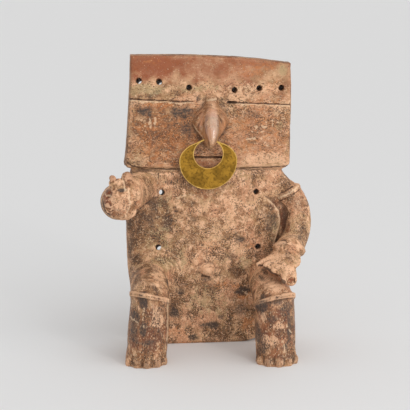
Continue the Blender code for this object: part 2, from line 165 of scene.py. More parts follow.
key = bpy.data.lights.new("key_light", "SUN")
key.angle = KEY_SPREAD
key.energy = KEY_ENERGY
hang_light(key, KEY_FROM, KEY_AT)

strip = bpy.data.lights.new("strip_light", "AREA")
strip.shape = "RECTANGLE"
strip.size, strip.size_y = STRIP_SIZE
strip.energy = STRIP_ENERGY
hang_light(strip, STRIP_FROM, STRIP_AT)

# %% [markdown]
# ## An even skin for the clay
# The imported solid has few, large faces, which is right for a collision shape and wrong for worn
# clay. A voxel remesh wraps the same solid in small even squares, about three quarters of a
# millimetre wide, so that every later step can treat the surface like real clay: rub it, press it
# and scratch it anywhere. Sculpting by hand would do the same, but code gives the same result in
# every run.

# %% Even skin
VOXEL = 0.75 * MM
SAME_CORNER = 0.01 * MM


def merged_copy(node, name):
    """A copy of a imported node, with its loose triangles joined at their corners."""
    shape = bmesh.new()
    shape.from_mesh(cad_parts[node].data)
    bmesh.ops.remove_doubles(shape, verts=shape.verts, dist=SAME_CORNER)
    mesh = bpy.data.meshes.new(name)
    shape.to_mesh(mesh)
    shape.free()
    piece = bpy.data.objects.new(name, mesh)
    bpy.context.scene.collection.objects.link(piece)
    return piece


def bake_modifiers(piece):
    """Swap the piece's mesh for what its modifiers make of it."""
    depsgraph = bpy.context.evaluated_depsgraph_get()
    mesh = bpy.data.meshes.new_from_object(piece.evaluated_get(depsgraph))
    piece.modifiers.clear()
    rough = piece.data
    piece.data = mesh
    bpy.data.meshes.remove(rough)
    mesh.name = piece.name


clay_figure = merged_copy("figure", "clay_figure")
skin = clay_figure.modifiers.new("even skin", "REMESH")
skin.mode = "VOXEL"
skin.voxel_size = VOXEL
skin.use_smooth_shade = True
bake_modifiers(clay_figure)
print("Even skin:", len(clay_figure.data.polygons), "squares")

# %% [markdown]
# ## Tools for the surface
# Blender hands a mesh over as long lists of numbers. With every point in one array, a rub, a press
# or a scratch is a short sum over all points at once. Noise gives the uneven hand in all of them.

# %% Point tools
# In one pass a point moves at most half way to its neighbours: more makes the surface ripple.
FULL_RUB = 0.5
LEAST_RUB = 0.001
# each layer of noise is twice as fine as the one before, and half as strong
HALVING, FINER, LAYERS = 1.0, 2.0, 3


def read(mesh, what, wide, kind=float):
    """All of a mesh's points, normals or edges as one array."""
    source = mesh.edges if what == "vertices" else mesh.vertices
    flat = np.empty(len(source) * wide, dtype=kind)
    source.foreach_get(what, flat)
    return flat.reshape(-1, wide)


def write_points(mesh, points):
    """Put the points back in the mesh."""
    mesh.vertices.foreach_set("co", points.ravel())
    mesh.update()


def neighbour_mean(values, edges, meets):
    """The mean of each point's neighbours, for one or more columns of values."""
    columns = []
    for column in values.T:
        total = np.bincount(edges[:, 0], column[edges[:, 1]], len(values))
        total += np.bincount(edges[:, 1], column[edges[:, 0]], len(values))
        columns.append(total / meets)
    return np.array(columns).T


def rub(values, edges, share, passes):
    """Rub values or points smooth, each pass by a share that may differ from point to point."""
    share = np.broadcast_to(share, (len(values),))
    edges = edges[(share[edges] > LEAST_RUB).any(axis=1)]
    meets = np.maximum(np.bincount(edges.ravel(), minlength=len(values)), 1)
    share = np.where(share > LEAST_RUB, share, 0.0)[:, None]
    for _ in range(passes):
        values = values + share * (neighbour_mean(values, edges, meets) - values)
    return values


def soften(mask, edges):
    """Spread a mask over its neighbours a little, so that it has no hard border."""
    return rub(mask[:, None], edges, FULL_RUB, 6)[:, 0]


def ease(low, high, values):
    """0 below low, 1 above high and a soft step between. Low may be the larger one."""
    t = np.clip((values - low) / (high - low), 0.0, 1.0)
    return t * t * (3 - 2 * t)


def unevenness(points, size, seed):
    """Soft noise at each point, about -1 to 1, with lumps of the given size in metres."""
    shift = Vector((seed, 1.7 * seed, 0.6 * seed))
    return np.array([noise.fractal(Vector(p) + shift, HALVING, FINER, LAYERS)
                     for p in (points / size).tolist()])


def height_above_rubbed(points, normals, edges, passes):
    """How far each point stands above the rubbed surface, in mm: ridges above, creases below."""
    rubbed = rub(points, edges, FULL_RUB, passes)
    return np.einsum("ij,ij->i", points - rubbed, normals) / MM


# %% [markdown]
# ## Rub the clay smooth, but not its details
# A potter's hand takes the edges off everything except what was cut last: the eye line, the mouth
# and the holes. The same order works here. First it is found out where the sharp details are, and
# then all other clay is rubbed until the flat facets of the solid are gone. Deep creases where
# arms and legs meet the slab get more rubbing, because there real clay was smeared across the join.
# Every length in these steps is in millimetres, with x to the right, y to the back and z up.

# %% Where the sharp details are
HOLES = ((-63.8, 272.2), (-43.7, 271.1), (-13.4, 264.6), (32.1, 261.6), (57.0, 263.2),
         (79.4, 263.3), (-41.5, 159.8), (54.3, 158.4), (-45.8, 103.6), (56.3, 101.7))
HOLE_RADIUS = 3.0
CUT_LINES = ((-76.0, 254.2, -6.0, 250.0), (25.0, 249.8, 33.4, 249.4), (33.4, 249.3, 92.0, 245.5),
             (-9.0, 194.9, 29.0, 193.9))
# the lines are cut in the front alone, so behind it they count as this much further away
FAR_AWAY = 60


def on_head(z):
    """1 on the head, 0 on the body, and a soft step between the two at the neck."""
    return ease(180, 187, z)


def from_line(x, z, line):
    """Distance in the front view from a line given as x, z, x, z."""
    x0, z0, x1, z1 = line
    along_x, along_z = x1 - x0, z1 - z0
    share = ((x - x0) * along_x + (z - z0) * along_z) / (along_x ** 2 + along_z ** 2)
    share = np.clip(share, 0.0, 1.0)
    return np.hypot(x - x0 - share * along_x, z - z0 - share * along_z)


points = read(clay_figure.data, "co", 3)
edges = read(clay_figure.data, "vertices", 2, np.int32)
normals = read(clay_figure.data, "normal", 3)
x, y, z = points.T / MM
cut_away = np.min([from_line(x, z, line) for line in CUT_LINES], axis=0) + FAR_AWAY * (y > 0)
hole_away = np.min([np.hypot(x - a, z - b) for a, b in HOLES], axis=0)
detail = np.maximum(ease(3.2, 1.8, cut_away), ease(HOLE_RADIUS + 5, HOLE_RADIUS + 1.5, hole_away))
raised_hand = ease(-34, -40, y) * ease(-66, -72, x) * ease(136, 142, z)
resting_hand = ease(-46, -52, y) * ease(78, 82, z)
hands = np.maximum(raised_hand, resting_hand)
toes = ease(16, 12, z) * ease(-66, -72, y)
neck = ease(8, 4, np.abs(z - 182.0))
head = on_head(z)
head_rim = head * ease(0.25, 0.55, np.hypot(normals[:, 0], normals[:, 2]))
print("Points:", len(points), "in sharp details:", int((detail > 0.5).sum()))

# %% Rub
FACET_PASSES = 24
CREASE_PASSES = 6

fine = np.abs(height_above_rubbed(points, normals, edges, 8))
sharp = np.clip(2.2 * soften(ease(0.15, 0.24, fine), edges), 0, 1)
kept = np.max([detail, 0.94 * sharp, 0.5 * hands, 0.7 * toes, 0.7 * neck, 0.85 * head_rim], axis=0)
round_arm = ease(84, 88, x) * ease(108, 114, z) * ease(152, 147, z) * ease(-2, -6, y)
palm = raised_hand * ease(180, 172, z)
kept = kept * (1 - 0.9 * round_arm) * (1 - 0.4 * palm)
points = rub(points, edges, FULL_RUB * (1 - kept), FACET_PASSES)
write_points(clay_figure.data, points)
normals = read(clay_figure.data, "normal", 3)

crease = ease(0.20, 0.60, -height_above_rubbed(points, normals, edges, 30))
crease = soften(crease * (1 - detail) * (1 - neck) * (1 - 0.9 * hands), edges)
points = rub(points, edges, FULL_RUB * crease, CREASE_PASSES)
print("Rubbed creases:", int((crease > 0.5).sum()))

# %% [markdown]
# ## Corners and joins
# Three corners of the real head are squarer than the solid's round ones, so their points are
# pushed out, each along the line from the middle of its corner. The raised arm and the thighs were
# rolled apart and pressed on, and wet clay was smeared over the joins, which leaves no line there.
# Many soft rubs in a band round each root do the same.

# %% Square up the corners of the head
# middle x and z, then how far the corner reaches sideways and up; less than 0 is left or down
HEAD_CORNERS = ((-67.4, 293.0, -4.0, 3.6), (85.0, 282.4, 4.0, 5.4), (-71.0, 194.0, -6.6, -8.0))
CORNER_POWER = 0.85
CORNER_LIMIT = 1.3
# what lies further forward is the raised arm, which stays as it is
FORWARD_LIMIT = -20

for middle_x, middle_z, reach_x, reach_z in HEAD_CORNERS:
    out = np.maximum((points[:, 0] / MM - middle_x) / reach_x, 0)
    up = np.maximum((points[:, 2] / MM - middle_z) / reach_z, 0)
    in_corner = (out > 0) & (up > 0) & (out < CORNER_LIMIT) & (up < CORNER_LIMIT)
    in_corner &= points[:, 1] > FORWARD_LIMIT * MM
    push = (np.hypot(out, up) / np.maximum(np.maximum(out, up), 1e-6)) ** CORNER_POWER - 1
    points[:, 0] += np.where(in_corner, out * push * reach_x * MM, 0)
    points[:, 2] += np.where(in_corner, up * push * reach_z * MM, 0)
    print("Corner points moved:", int(in_corner.sum()))

# %% Smear the roots of the raised arm and the thighs
# middle x, middle z and radius of each root
ROOTS = ((-66.0, 168.0, 20.5), (-54.0, 73.0, 20.0), (63.0, 70.0, 20.5))
ROOT_PASSES = 140
PALM_RUB, PALM_PASSES = 0.45, 16
# the broken end of a finger of the resting hand, and the share of its depth that is filled
BROKEN_FINGER = (78.8, -87.0, 84.0)
BREAK_FILLED = 0.85

x, y, z = points.T / MM
smeared = np.zeros(len(points))
for middle_x, middle_z, radius in ROOTS:
    away = np.abs(np.hypot(x - middle_x, z - middle_z) - radius)
    smeared = np.maximum(smeared, ease(11, 6, away) * ease(-14, -5, z - middle_z))
smeared *= ease(-36, -28, y) * ease(0, -4, y) * (1 - detail) * (1 - neck) * ease(34, 37, np.abs(x))
points = rub(points, edges, FULL_RUB * smeared, ROOT_PASSES)
low_palm = palm * ease(160, 154, z) * ease(-82, -88, x)
points = rub(points, edges, PALM_RUB * low_palm, PALM_PASSES)

finger_x, finger_y, finger_z = BROKEN_FINGER
in_break = ease(4.0, 3.3, np.hypot(x - finger_x, z - finger_z)) * ease(-73, -76, y)
points[:, 1] -= in_break * BREAK_FILLED * np.maximum(y - finger_y, 0) * MM
write_points(clay_figure.data, points)
normals = read(clay_figure.data, "normal", 3)
print("Smeared points:", int((smeared > 0.5).sum()))

# %% [markdown]
# ## Press the marks that make it this piece
# Ridges of smeared clay run round the root of each thigh, a knob and low lumps sit on the belly,
# and faint lines cross the jaw. The toes have gaps between them, a thin band lies on the shoulder,
# and a groove parts the resting arm from the body. A sculptor would press each one in turn. Here
# each adds to one number per point, its lift along the normal, and all are applied with the wear.

# %% Marks on the body
# middle x, middle z, the radii of the ridges, height
THIGH_RIDGES = ((-50.0, 74.0, (20.5, 24.5, 28.5), 0.90), (58.0, 66.0, (24.0, 28.0), 0.60))
RIDGE_WIDTH = 0.9
# middle x, middle z, half width, half height, height; the first is the knob
BODY_LUMPS = ((4.0, 80.0, 6.5, 6.0, 4.4), (24.0, 83.0, 4.0, 7.0, 1.6), (-8.0, 89.0, 5.0, 5.0, 1.4),
              (3.0, 98.0, 6.0, 4.0, 0.9), (38.0, 96.0, 8.0, 4.0, 0.8))
# the line, then its depth
FAINT_LINES = ((35.5, 187.6, 87.4, 188.8, 0.30), (-74.0, 189.0, -28.0, 186.6, 0.25))
FAINT_WIDTH = 0.6

x, y, z = points.T / MM
facing_front = ease(0.2, 0.6, -normals[:, 1])
slab_front = ease(-34, -29, y) * ease(-8, -11, y) * facing_front
lift = np.zeros(len(points))
waver = unevenness(points, 14 * MM, 3.0)
for middle_x, middle_z, radii, height in THIGH_RIDGES:
    away = np.hypot(x - middle_x, z - middle_z) + 1.2 * waver
    above = ease(-6, 8, z - middle_z)
    for radius in radii:
        lift += height * above * slab_front * np.exp(-((away - radius) / RIDGE_WIDTH) ** 2)
for *line, depth in FAINT_LINES:
    lift -= depth * slab_front * np.exp(-(from_line(x, z, line) / FAINT_WIDTH) ** 2)
for middle_x, middle_z, half_x, half_z, height in BODY_LUMPS:
    away = np.hypot((x - middle_x) / half_x, (z - middle_z) / half_z) + 0.25 * waver
    lift += height * slab_front * ease(1.3, 0.2, away)
print("Highest mark on the body in mm:", round(lift.max(), 2))

# %% Toe gaps, the band on the shoulder and the groove beside the arm
FEET = ((-62.4, -69.3), (66.0, -78.3))
# in degrees from straight ahead
TOE_GAPS = (-46.5, -15.5, 15.5, 46.5)
TOE_GAP_DEPTH, TOE_GAP_WIDTH = 0.9, 1.3
# from x, z to x, z
SHOULDER_BAND = (77.0, 151.0, 98.0, 162.6)
BAND_HEIGHT = 0.7
# z and x of the two edges of the groove
BODY_EDGE = ((102.8, 72.2), (112.2, 75.4), (121.3, 77.8), (129.0, 79.0), (138.2, 77.2),
             (144.5, 72.5), (150.5, 66.1), (154.1, 61.1))
ARM_EDGE = ((107.9, 79.1), (118.3, 84.1), (128.6, 87.1), (136.1, 86.8), (143.3, 82.8),
            (149.6, 77.6))
GROOVE_DEPTH = 2.4

for foot_x, foot_y in FEET:
    reach = np.hypot(x - foot_x, y - foot_y)
    turn = np.degrees(np.arctan2(x - foot_x, -(y - foot_y)))
    on_foot = ease(15, 17, reach) * ease(26, 24, reach) * ease(12, 8, z)
    for gap in TOE_GAPS:
        across = np.radians(turn - gap) * reach
        lift -= TOE_GAP_DEPTH * on_foot * np.exp(-(across / TOE_GAP_WIDTH) ** 2)
lift += BAND_HEIGHT * ease(3.4, 2.2, from_line(x, z, SHOULDER_BAND)) * ease(-1, -5, y)


def beyond(edge):
    """How far each point lies to the right of an edge given as z, x."""
    return x - np.interp(z, *np.array(edge).T)


groove = ease(0, 1.4, beyond(BODY_EDGE)) * ease(2.0, 0.0, beyond(ARM_EDGE))
groove = groove * ease(100, 106, z) * ease(156, 151, z)
groove *= ease(-20, -17, y) * ease(-3, -7, y) * facing_front
lift -= GROOVE_DEPTH * groove
print("Points in the groove beside the arm:", int((groove > 0.5).sum()))

# %% The nose: a broad flat rib between two thin wings
NOSE_MIDDLE = 8.4
RIB_HEIGHTS = (206, 214, 229, 243, 255)
RIB_HALF_WIDTHS = (3.5, 5.0, 8.6, 6.5, 4.0)
RIB_RISE, WINGS_SINK = 1.3, 0.4

on_nose = ease(-15.0, -16.5, y) * ease(203, 210, z) * ease(257, 249, z)
on_nose = on_nose * ease(0.1, 0.5, -normals[:, 1])
from_rib = np.abs(x - NOSE_MIDDLE) / np.interp(z, RIB_HEIGHTS, RIB_HALF_WIDTHS)
lift += on_nose * (RIB_RISE * ease(1.45, 0.65, from_rib) - WINGS_SINK)
print("Points on the nose:", int((on_nose > 0.5).sum()))

# %% [markdown]
# ## Wear
# Wear is the same everywhere and different in every spot: slow waves from shaping by hand, lumps,
# grit, pits where grains fell out, and chips along edges. Each is noise of its own size, and some
# places get more or less of it. The pitted knee, the feet and the hands are rougher, and the nose
# was burnished, so it stays nearly smooth. The underside stays flat, for the figure to stand on.

# %% Smooth and rough places
def spot(middle_x, middle_z, half_x, half_z):
    """A soft round spot in the front view, 1 in its middle."""
    return np.exp(-((x - middle_x) / half_x) ** 2 - ((z - middle_z) / half_z) ** 2)


def burnished_nose():
    """How much each point was polished with the nose."""
    return spot(7, 228, 17, 24) * ease(-14.5, -17.5, y)


burnished = burnished_nose()
pitted_knee = spot(62, 80, 15, 7) * ease(-70, -80, y)
feet = ease(16, 6, z) * ease(-50, -58, y)
rough_spots = np.clip(pitted_knee + 0.5 * feet + hands, 0, 1)
finger_stubs = raised_hand * ease(173, 178, z)
print("Burnished points:", int((burnished > 0.5).sum()))

# %% Wear the surface
# height or depth, and size of one lump or pit
WAVE_HEIGHT, WAVE_SIZE = 0.42, 36
LUMP_HEIGHT, LUMP_SIZE = 0.17, 11
GRIT_HEIGHT, GRIT_SIZE = 0.11, 3.4
PIT_DEPTH, PIT_SIZE = 0.28, 4.5
CHIP_DEPTH, CHIP_SIZE = 0.40, 9
STUB_PIT_DEPTH = 0.9
SOLE = 0.3

ridge = ease(0.05, 0.45, height_above_rubbed(points, normals, edges, 14))
calm = (1 - 0.9 * burnished) * (1 - 0.8 * detail) * (1 - 0.45 * head)
slow_waves = WAVE_HEIGHT * unevenness(points, WAVE_SIZE * MM, 11.0)
lumps = LUMP_HEIGHT * unevenness(points, LUMP_SIZE * MM, 5.0)
grit = GRIT_HEIGHT * unevenness(points, GRIT_SIZE * MM, 7.0)
pits = ease(0.25, 0.6, unevenness(points, PIT_SIZE * MM, 21.0))
chips = ridge * ease(0.15, 0.6, unevenness(points, CHIP_SIZE * MM, 31.0))
stub_pits = ease(-0.15, 0.40, unevenness(points, PIT_SIZE * MM, 61.0))
lift += slow_waves * (1 - detail) * (1 - 0.4 * head) + lumps * calm * (1 + rough_spots)
lift += grit * calm * (1 + 1.5 * rough_spots) - PIT_DEPTH * pits * calm * (1 + 1.8 * rough_spots)
lift -= CHIP_DEPTH * chips * (1 - 0.8 * detail) * (1 + rough_spots)
lift -= STUB_PIT_DEPTH * finger_stubs * stub_pits
lift *= ease(SOLE, 2.5, z)
points = points + normals * (lift * MM)[:, None]
points[:, 2] = np.where(points[:, 2] < SOLE * MM, 0.0, points[:, 2])
points = np.clip(points, np.array(cad_low), np.array(cad_high))
write_points(clay_figure.data, points)
print("Deepest and highest wear in mm:", round(lift.min(), 2), round(lift.max(), 2))

# %% [markdown]
# ## What the finish needs to know
# Dirt stays in creases, where painted shade darkens them too, and edges are rubbed pale, so the
# material has to know which is which. The height above a rubbed copy of the surface says so, and
# it is stored on the points, where a material can read it. After that the mesh is thinned to what
# is worth keeping.

# %% Height of the relief, then a lighter mesh
MOST_TRIANGLES = 190000
MOST_RELIEF = 1.5


def store(mesh, name, values):
    """Keep one number per point under a name that a material can read."""
    held = mesh.attributes.get(name) or mesh.attributes.new(name, "FLOAT", "POINT")
    held.data.foreach_set("value", np.asarray(values, dtype=np.float32))


normals = read(clay_figure.data, "normal", 3)
broad_relief = height_above_rubbed(points, normals, edges, 60)
fine_relief = height_above_rubbed(points, normals, edges, 8)
relief = 0.6 * broad_relief + 0.8 * fine_relief
# less dirt and painted shade where the roots are smeared
relief *= np.where(relief < 0, 1 - 0.8 * smeared, 1.0)
store(clay_figure.data, "relief", np.clip(relief, -MOST_RELIEF, MOST_RELIEF))

thinner = clay_figure.modifiers.new("lighter mesh", "DECIMATE")
thinner.ratio = min(1.0, MOST_TRIANGLES / (2 * len(clay_figure.data.polygons)))
bake_modifiers(clay_figure)
clay_figure.data.shade_smooth()
points = read(clay_figure.data, "co", 3)
write_points(clay_figure.data, np.clip(points, np.array(cad_low), np.array(cad_high)))
print("Lighter mesh:", sum(len(f.vertices) - 2 for f in clay_figure.data.polygons), "triangles")

# %% [markdown]
# ## Where the stains and crusts are
# The ground marked each part in its own way: dark mineral stains, pale rubbed clay, ochre and
# olive crusts, and the last of a red slip, most of it on the head. A shade stands for the old dark
# skin where it is left, and some shade patches are painted shade: the shadows of the nose and the
# ring, the groove beside the resting arm, the hollow of the raised hand, the slab's left edge and
# the head's side faces. Slip in that groove and hollow is painted shade as well. Each is a list of
# ragged patches, in millimetres in the front view: middle x and z, half width, half height and
# strength. Noise makes their borders ragged here, and finer noise in the material breaks them up
# again. Zones keep a patch on the part it belongs to. The legs are named after the arm on their
# side.

# %% Zones
points = read(clay_figure.data, "co", 3)
normals = read(clay_figure.data, "normal", 3)
x, y, z = points.T / MM
frontal = ease(-0.1, 0.35, -normals[:, 1])
forward = ease(-38, -42, y)
on_arm = ease(0, 2, beyond(ARM_EDGE)) * ease(88, 96, z) * ease(162, 152, z)
zones = {
    "slab": ease(-40, -30, y) * (1 - on_arm) * frontal,
    "raised_leg": forward * ease(-30, -34, x) * ease(96, 90, z),
    "resting_leg": forward * ease(36, 40, x) * ease(90, 84, z),
    "raised_hand": ease(-30, -36, y) * ease(-60, -66, x) * ease(130, 136, z),
    "resting_hand": ease(-40, -46, y) * ease(76, 80, z) * ease(40, 44, x),
    "resting_arm": on_arm * ease(0.6, 0.2, normals[:, 1]),
    "left_thigh": ease(-26, -32, y) * ease(-26, -30, x) * ease(64, 70, z) * ease(112, 106, z),
    "nose": ease(-14.6, -15.6, y) * ease(22, 20, np.abs(x - 7)) * ease(198, 202, z),
    "shoulder": ease(68, 72, x) * frontal,
    "knee": ease(-46, -52, y) * ease(36, 40, x) * ease(96, 92, z) * ease(72, 76, z),
}
print("Points in each zone:", {name: int((zone > 0.5).sum()) for name, zone in zones.items()})

# %% Dark stains and pale clay
def how_many(*lists):
    """The number of patches in these lists."""
    return sum(len(spots) for kind in lists for spots in kind.values())


STAINS = {
    "slab": (
        (-36, 170, 5, 3, .7), (52, 172, 6, 3, .6), (-50, 144, 6, 12, .55), (-52, 129, 5, 8, .6),
        (-73, 112, 4, 31, .55), (-10, 132, 4, 4, .7), (38, 109, 6, 5, 1.0), (28, 92, 8, 5, .6),
        (69, 128, 7, 9, .8), (3, 69, 6, 2, .8), (41, 56, 8, 5, 1.1), (40, 35, 8, 10, .8),
        (7, 20, 10, 4, 1.2), (19, 28, 5, 3, .8), (-10, 8, 7, 4, 1.2), (-30, 34, 6, 6, 1.0),
        (-24, 56, 5, 4, .9), (-57, 241, 9, 6, .9), (-23, 240, 12, 7, .95), (-17, 222, 8, 9, .8),
        (-4, 254, 3, 3, .9), (49, 237, 12, 6, .6), (-72, 213, 4, 20, .5), (11, 278, 8, 9, .25),
        (-66, 190, 9, 3, .6), (-3, 201, 5, 4, .5)),
    "raised_leg": (
        (-65, 66, 5, 9, .85), (-72, 50, 4, 8, .7), (-66, 38, 4, 8, .8), (-74, 36, 4, 12, .65),
        (-61, 26, 9, 4, .6), (-48, 30, 3, 9, .4), (-56, 62, 3, 6, .4), (-46, 54, 3, 5, .4)),
    "resting_leg": (
        (50, 60, 5, 9, .85), (63, 65, 8, 5, .65), (76, 44, 3, 22, .7), (47, 32, 3, 18, .65),
        (60, 48, 5, 5, .6), (51, 16, 4, 7, .6), (72, 19, 5, 6, .6), (70, 58, 5, 5, .5),
        (58, 84, 3, 2, .8), (66, 86, 3, 2, .6), (54, 80, 3, 2, .7)),
    "left_thigh": ((-69, 87, 4, 10, .5), (-36, 74, 5, 5, .7), (-52, 92, 5, 2, .5)),
    "raised_hand": ((-98, 170, 4, 5, .6), (-83.5, 171, 4, 2.6, 1.2), (-104, 153, 3, 14, .7),
                    (-88, 152, 4, 2, .4), (-92, 162, 2, 3, .4)),
    "resting_hand": ((73, 113, 8, 3, .6), (52, 98, 2, 2, .7), (80, 104, 4, 6, .45)),
    "resting_arm": ((95, 116, 2, 3, .7), (74, 102, 5, 5, .8), (96, 146, 5, 9, .5),
                    (98, 121, 3, 12, .45), (78, 118, 4, 8, .45), (88, 152, 4, 5, .4)),
}
PALE = {
    "slab": (
        (25, 151, 9, 6, .7), (45, 143, 5, 4, .5), (4, 79, 9, 8, 1.2), (-27, 149, 6, 4, .5),
        (30, 128, 10, 6, .5), (10, 110, 10, 8, .4), (52, 98, 8, 3, .6), (24, 80, 6, 6, .5),
        (-3, 5, 33, 3, .5), (2, 178, 81, 4, .6), (-35, 262, 4, 3, .7), (31, 262, 9, 5, .5),
        (37, 261, 2, 2, 1.0), (63, 191, 30, 8, .75), (2, 97, 8, 6, .5), (29, 143, 14, 12, .55),
        (60, 263, 32, 6, .6), (34, 256, 14, 8, .7), (24, 172, 26, 5, .5), (-50, 160, 8, 8, .5),
        (16, 96, 8, 9, .6), (-36, 95, 12, 4, .6), (-25, 82, 4, 9, .6), (14, 88, 24, 15, .4)),
    "raised_leg": ((-52, 50, 6, 11, .9), (-70, 59, 3, 4, .7), (-79, 8, 2, 3, .7),
                   (-70, 6, 2, 3, .6), (-60, 6, 2, 3, .6), (-50, 7, 2, 3, .6)),
    "resting_leg": (
        (51, 49, 3, 6, .9), (65, 41, 7, 5, .8), (60, 26, 10, 6, .9), (62, 81, 15, 7, 1.2),
        (49, 6, 2, 3, .8), (59, 5, 2, 3, .7), (70, 5, 2, 3, .7), (79, 6, 2, 3, .6)),
    "left_thigh": ((-48, 87, 7, 8, .95), (-35, 78, 3, 6, .4)),
    "raised_hand": ((-85, 161, 11, 12, .6), (-75, 159, 3, 3, 1.0)),
    "resting_hand": ((64, 99, 12, 7, .85), (79, 92, 8, 6, .85)),
    "resting_arm": ((86, 134, 4, 9, .7), (93, 132, 3, 9, .55)),
    "nose": ((18, 214, 3, 4, .6),),
}
print("Dark and pale patches:", how_many(STAINS, PALE))

# %% Ochre and olive crusts
OCHRE = {
    "slab": (
        (44, 51, 9, 4, 1.0), (36, 60, 8, 3, .7), (46, 19, 6, 10, .7), (19, 62, 8, 6, .6),
        (-52, 291, 14, 3, .3), (52, 281, 20, 9, .4), (70, 264, 10, 7, .5), (-43, 248, 28, 2, .8),
        (-61, 217, 10, 9, .6), (-50, 231, 9, 8, .5), (59, 247, 26, 2, .7), (-34, 205, 16, 6, .5),
        (12, 104, 14, 9, .4), (53, 103, 12, 6, .4), (-3, 1, 24, 2, .6), (-36, 47, 6, 4, .5),
        (-30, 15, 10, 5, .5), (-10, 225, 6, 10, .4), (28, 221, 10, 14, .35),
        (-36, 216, 50, 34, .5), (56, 222, 44, 34, .4)),
    "resting_leg": ((52, 44, 4, 8, .4),),
}
OLIVE = {
    "slab": (
        (-54, 264, 20, 7, .85), (-3, 264, 22, 4, .5), (80, 281, 5, 7, .8), (-44, 88, 17, 8, .8),
        (-26, 88, 9, 13, .7), (43, 85, 9, 6, .6), (74, 119, 6, 12, .6), (2, 47, 18, 15, .7),
        (-44, 112, 14, 20, .45), (17, 40, 10, 12, .5), (42, 263, 13, 4, .5), (-40, 150, 12, 12, .3),
        (78, 226, 6, 7, .5), (-67, 192, 8, 14, .4)),
    "left_thigh": ((-40, 100, 15, 5, .8),),
}
print("Crusts:", how_many(OCHRE, OLIVE))

# %% Red slip and the old dark skin
SLIP = {
    "slab": ((-54, 288, 44, 20, 1.25), (-14, 284, 46, 15, .8), (10, 288, 96, 12, .75),
             (30, 280, 60, 16, .65), (84, 270, 10, 22, .6), (2, 160, 14, 9, .5),
             (0, 188, 14, 4, .6), (-50, 247, 30, 5, .45), (-30, 215, 40, 20, .35),
             # (83, 130) and (77, 146) redden the groove beside the resting arm: painted shade
             (50, 222, 34, 20, .3), (83, 130, 5, 22, .8), (77, 146, 7, 6, .6)),
    "nose": ((4, 230, 20, 30, .35),),
    # (-98, 167) reddens and darkens the hollow of the raised hand: painted shade
    "raised_hand": ((-98, 167, 6.5, 9, 1.3), (-88, 160, 18, 24, .45), (-91, 184, 7, 7, .8),
                    (-76, 186, 8, 7, .6)),
    "resting_hand": ((79, 84, 4, 3, 1.2), (66, 98, 20, 14, .3)),
    "raised_leg": ((-60, 36, 26, 34, .5),),
    "resting_leg": ((64, 34, 26, 34, .55), (62, 81, 18, 9, .5)),
}
SHADE = {
    "slab": (
        (-44, 225, 36, 26, .95), (-10, 212, 22, 20, .5), (-66, 130, 20, 50, .85),
        (40, 220, 54, 30, .28), (-44, 262, 32, 9, .45), (-46, 132, 26, 34, .8),
        (-44, 203, 34, 16, .65), (-14, 130, 18, 26, .45), (10, 40, 46, 26, .2),
        (-20, 60, 18, 20, .45), (66, 125, 14, 26, .5), (-52, 88, 24, 14, .4),
        # (-7, 218) is a painted shadow of the nose, (-17, 176) a painted shadow of the ring
        (40, 45, 12, 24, .5), (70, 230, 20, 12, .25), (-7, 218, 6, 9, .9), (-17, 176, 15, 8, .7),
        (71, 127, 8, 19, .7), (43, 55, 9, 4, .8), (-32, 36, 7, 10, .9), (49, 28, 8, 12, .6),
        # (-72, 120) darkens the slab's rounded left edge: painted shade over the old skin
        (-72, 120, 6, 36, .6), (0, 160, 18, 8, .3), (36, 74, 10, 12, .8), (16, 15, 30, 8, .4),
        # the first three darken the groove beside the resting arm: painted shade
        (83, 128, 4, 24, 1.0), (77, 146, 7, 6, .9), (78, 108, 4, 9, .9), (-52, 257, 26, 4, .7)),
    # the nose's left side, turned from the light, is painted darker: painted shade
    "nose": ((-5, 222, 8, 16, .5),),
    "raised_leg": ((-60, 40, 26, 38, .85), (-62, 8, 26, 12, .75), (-58, 80, 20, 9, .3)),
    "resting_leg": ((64, 46, 26, 28, .9), (66, 8, 26, 14, .75)),
    "left_thigh": ((-52, 86, 22, 14, .5),),
    "resting_arm": ((100, 136, 5, 30, .45), (94, 152, 12, 10, .4)),
    "raised_hand": ((-100, 158, 8, 20, .8), (-92, 144, 12, 5, .5), (-86, 166, 14, 14, .2),
                    # (-98, 167) darkens the hollow of the raised hand: painted shade
                    (-98, 167, 6, 9, 1.2), (-94, 184, 5, 6, .9)),
}
print("Patches of slip and old skin:", how_many(SLIP, SHADE))

# %% Lay the patches
RAGGED_SIZE = 9
PATCH_RAGGED = 0.55
LEG_STAINS_MORE = 0.35
# how much painted shade the head's side faces get
RIM_SHADE = 0.6

ragged = unevenness(points, RAGGED_SIZE * MM, 41.0)
head = on_head(z)
# side faces of the head, found by their normals
head_rim = head * ease(0.35, 0.75, np.hypot(normals[:, 0], normals[:, 2]))


def lay_patches(lists):
    """The strongest patch at each point, kept to the part of the figure it belongs to."""
    total = np.zeros(len(points))
    for part, spots in lists.items():
        for middle_x, middle_z, half_x, half_z, strength in spots:
            away = np.hypot((x - middle_x) / half_x, (z - middle_z) / half_z)
            covered = ease(1.35, 0.45, away + PATCH_RAGGED * ragged)
            total = np.maximum(total, strength * covered * zones[part])
    return total


for name, lists in (("stain", STAINS), ("pale", PALE), ("ochre", OCHRE), ("olive", OLIVE),
                    ("slip", SLIP), ("shade", SHADE)):
    patches = lay_patches(lists)
    if name == "stain":
        patches *= 1 + LEG_STAINS_MORE * forward
    if name == "shade":
        # the head's side faces, turned from the light, get the shade colour: painted shade
        patches = np.maximum(patches, RIM_SHADE * head_rim)
    store(clay_figure.data, name, patches)
    print("Patches of", name, "cover", round(100 * float((patches > 0.3).mean()), 1), "% of points")

burnished = burnished_nose()
shins = forward * ease(70, 64, z) * ease(14, 20, z)
store(clay_figure.data, "burnish", np.maximum(burnished, 0.5 * shins))
